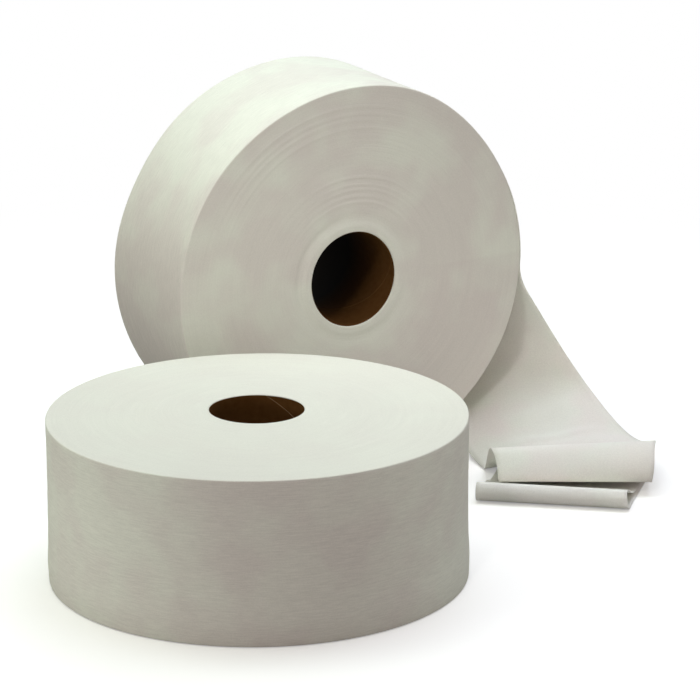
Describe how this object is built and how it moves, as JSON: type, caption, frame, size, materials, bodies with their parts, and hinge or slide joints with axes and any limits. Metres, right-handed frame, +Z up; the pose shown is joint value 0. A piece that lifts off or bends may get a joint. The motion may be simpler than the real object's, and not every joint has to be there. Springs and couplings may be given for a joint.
{
  "type": "toilet paper roll pack",
  "caption": "Pair of large toilet paper rolls on cardboard cores: one lying flat, one standing on its rim with its loose end hanging down in folds.",
  "frame": {"origin": "on the floor, at the foot of the front roll's bore, on its axis", "axes": "+Z up along the front roll's axis, +X to the right and +Y away from the viewer, towards the rear roll"},
  "size_m": [0.3457, 0.4401, 0.2296],
  "materials": {
    "tissue": "soft creped tissue, matte",
    "core_board": "plain brown board, matte"
  },
  "bodies": {
    "root": {"front_roll_paper": "tissue", "front_core": "core_board", "rear_roll_paper": "tissue", "rear_core": "core_board", "rear_roll_tail": "tissue"}
  },
  "joints": []
}
